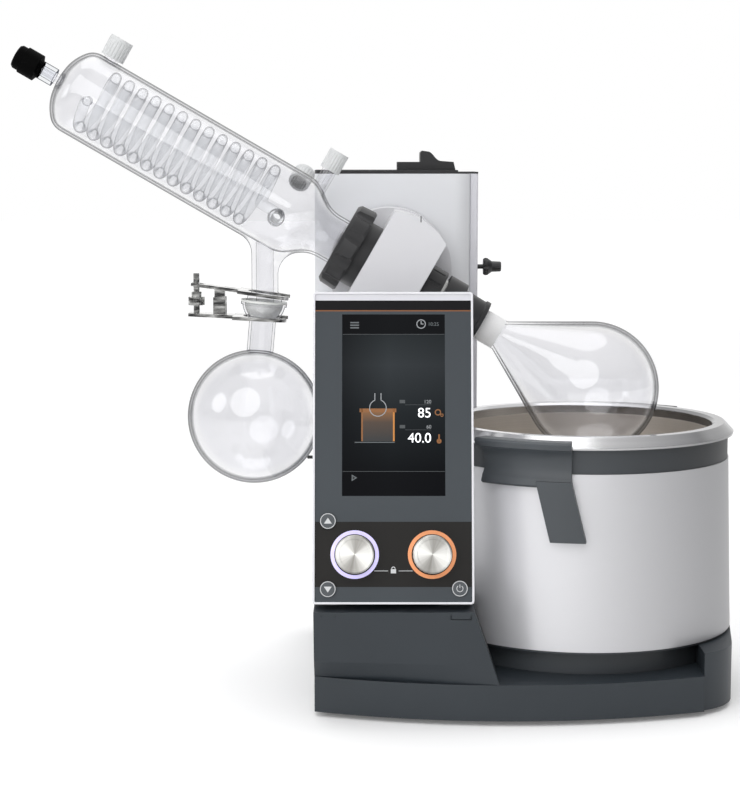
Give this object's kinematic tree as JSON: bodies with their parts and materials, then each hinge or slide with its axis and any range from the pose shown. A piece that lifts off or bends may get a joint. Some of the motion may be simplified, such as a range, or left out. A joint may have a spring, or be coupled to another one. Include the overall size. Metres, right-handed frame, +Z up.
{
  "type": "rotary evaporator",
  "caption": "Bench rotary evaporator: diagonal glass coil condenser, tilting drive head on a motor lift, touch panel, round flasks and a heated bath on a dark base.",
  "frame": {"origin": "bottom centre of the overall box, on the bench", "axes": "+X from the condenser towards the bath, +Y from the panel to the rear, +Z up"},
  "size_m": [0.701, 0.4046, 0.6336],
  "materials": {
    "dark_cast": "satin",
    "rubber": "matte",
    "black_plastic": "satin",
    "dark_plastic": "satin",
    "white_plastic": "satin",
    "silver_paint": "satin",
    "screen": "gloss",
    "lit_ring": "gloss",
    "circuit": "satin",
    "steel": "brushed",
    "bright_rim": "polished",
    "key_cap": "satin",
    "cast_aluminium": "cast",
    "bronze": "turned",
    "belt_rubber": "matte",
    "clear_glass": "clear"
  },
  "bodies": {
    "base": {"base_plate": "dark_cast", "rubber_feet": "rubber", "bath_dock": "dark_cast", "power_inlet": "black_plastic", "pedestal_cover": "dark_cast", "panel_housing": "white_plastic", "panel_fascia": "dark_plastic", "display_glass": "screen", "led_rings": "lit_ring", "control_board": "circuit", "mast": "cast_aluminium", "guide_rods": "steel", "lift_motor": "steel"},
    "screw": {"lift_screw": "steel"},
    "lift": {"carriage": "cast_aluminium", "lift_nut": "bronze", "tower_hood": "silver_paint", "hood_side_trim": "silver_paint", "hood_top_cap": "black_plastic", "hose_guide": "black_plastic", "side_nipple": "black_plastic"},
    "tilt_lock": {"tilt_lock_knob": "black_plastic"},
    "head": {"drive_housing": "silver_paint", "drum_cover": "silver_paint", "pivot_trunnion": "steel", "rotor_bearings": "steel", "drive_motor": "steel", "drive_belt": "belt_rubber", "coupling_flange": "black_plastic", "vacuum_seal": "rubber", "condenser_jacket": "clear_glass", "cooling_coil": "clear_glass", "joint_liner": "white_plastic", "clamp_lower_jaw": "steel"},
    "motor_shaft": {"motor_pulley": "black_plastic"},
    "rotor": {"rotor_hub": "steel", "hub_collar": "black_plastic", "flask_clip": "black_plastic", "vapour_tube": "clear_glass", "evaporating_flask": "clear_glass"},
    "nut": {"union_nut": "black_plastic"},
    "tip_cap": {"end_cap": "black_plastic"},
    "vent": {"vent_cap": "white_plastic"},
    "feed": {"feed_cap": "white_plastic"},
    "coolant": {"coolant_cap": "white_plastic"},
    "receiver": {"receiving_flask": "clear_glass"},
    "clamp": {"clamp_upper_jaw": "steel"},
    "clamp_screw_nut": {"clamp_nut": "steel"},
    "bath": {"bath_bowl": "steel", "bath_rim": "bright_rim", "bath_collar": "dark_plastic", "bath_shell": "silver_paint", "bath_foot_ring": "dark_plastic", "heater_plate": "cast_aluminium", "bath_handles": "dark_plastic"},
    "left_knob": {"knob_left": "steel"},
    "right_knob": {"knob_right": "steel"},
    "up_key": {"button_up": "key_cap"},
    "down_key": {"button_down": "key_cap"},
    "power_key": {"button_power": "key_cap"}
  },
  "joints": [
    {"name": "lift_travel", "type": "slide", "parent": "base", "child": "lift", "axis": [0, 0, 1], "range_m": [-0.03, 0.12]},
    {"name": "screw_turn", "type": "hinge", "parent": "base", "child": "screw", "pos_m": [0.01498, 0.15731, 0.082], "axis": [0, 0, 1], "range_deg": [-1080, 4320]},
    {"name": "head_tilt", "type": "hinge", "parent": "lift", "child": "head", "pos_m": [0.01498, -0.02069, 0.4046], "axis": [0, 1, 0], "range_deg": [-10, 10]},
    {"name": "tilt_lock_turn", "type": "hinge", "parent": "lift", "child": "tilt_lock", "pos_m": [0.11498, 0.11031, 0.403], "axis": [1, 0, 0], "range_deg": [-180, 0]},
    {"name": "flask_spin", "type": "hinge", "parent": "head", "child": "rotor", "pos_m": [0.01498, -0.02069, 0.4046], "axis": [0.866, 0, -0.5], "continuous": true},
    {"name": "motor_spin", "type": "hinge", "parent": "head", "child": "motor_shaft", "pos_m": [0.01498, 0.05531, 0.4046], "axis": [0.866, 0, -0.5], "continuous": true},
    {"name": "union_nut_turn", "type": "hinge", "parent": "head", "child": "nut", "pos_m": [0.01498, -0.02069, 0.4046], "axis": [0.866, 0, -0.5], "continuous": true},
    {"name": "tip_cap_turn", "type": "hinge", "parent": "head", "child": "tip_cap", "pos_m": [0.01498, -0.02069, 0.4046], "axis": [0.866, 0, -0.5], "continuous": true},
    {"name": "vent_cap_turn", "type": "hinge", "parent": "head", "child": "vent", "pos_m": [-0.27514, -0.02069, 0.5721], "axis": [0.5, 0, 0.866], "continuous": true},
    {"name": "feed_cap_turn", "type": "hinge", "parent": "head", "child": "feed", "pos_m": [-0.07214, -0.02069, 0.4549], "axis": [0.5, 0, 0.866], "continuous": true},
    {"name": "coolant_cap_turn", "type": "hinge", "parent": "head", "child": "coolant", "pos_m": [-0.09024, -0.02069, 0.46535], "axis": [0.3147, 0.7771, 0.545], "continuous": true},
    {"name": "receiver_swivel", "type": "hinge", "parent": "head", "child": "receiver", "pos_m": [-0.10852, -0.02069, 0.3746], "axis": [-0.0889, 0, -0.996], "continuous": true},
    {"name": "clamp_open", "type": "hinge", "parent": "head", "child": "clamp", "pos_m": [-0.15152, -0.02069, 0.3755], "axis": [0, -1, 0], "range_deg": [0, 8]},
    {"name": "clamp_nut_turn", "type": "hinge", "parent": "head", "child": "clamp_screw_nut", "pos_m": [-0.17432, -0.02069, 0.3755], "axis": [0, 0, 1], "continuous": true},
    {"name": "bath_lift_out", "type": "slide", "parent": "base", "child": "bath", "axis": [0, 0, 1], "range_m": [0, 0.02]},
    {"name": "left_knob_turn", "type": "hinge", "parent": "base", "child": "left_knob", "pos_m": [-0.01902, -0.1836, 0.15707], "axis": [0, -0.9774, 0.2113], "continuous": true},
    {"name": "right_knob_turn", "type": "hinge", "parent": "base", "child": "right_knob", "pos_m": [0.05128, -0.1836, 0.15707], "axis": [0, -0.9774, 0.2113], "continuous": true},
    {"name": "up_press", "type": "slide", "parent": "base", "child": "up_key", "axis": [0, 0.9774, -0.2113], "range_m": [0, 0.0008], "stiffness_N_per_m": 600},
    {"name": "down_press", "type": "slide", "parent": "base", "child": "down_key", "axis": [0, 0.9774, -0.2113], "range_m": [0, 0.0008], "stiffness_N_per_m": 600},
    {"name": "power_press", "type": "slide", "parent": "base", "child": "power_key", "axis": [0, 0.9774, -0.2113], "range_m": [0, 0.0008], "stiffness_N_per_m": 600}
  ],
  "couplings": [
    {"joint": "screw_turn", "follows": "lift_travel", "rad_per_m": 628.32},
    {"joint": "motor_spin", "follows": "flask_spin", "ratio": 3}
  ]
}
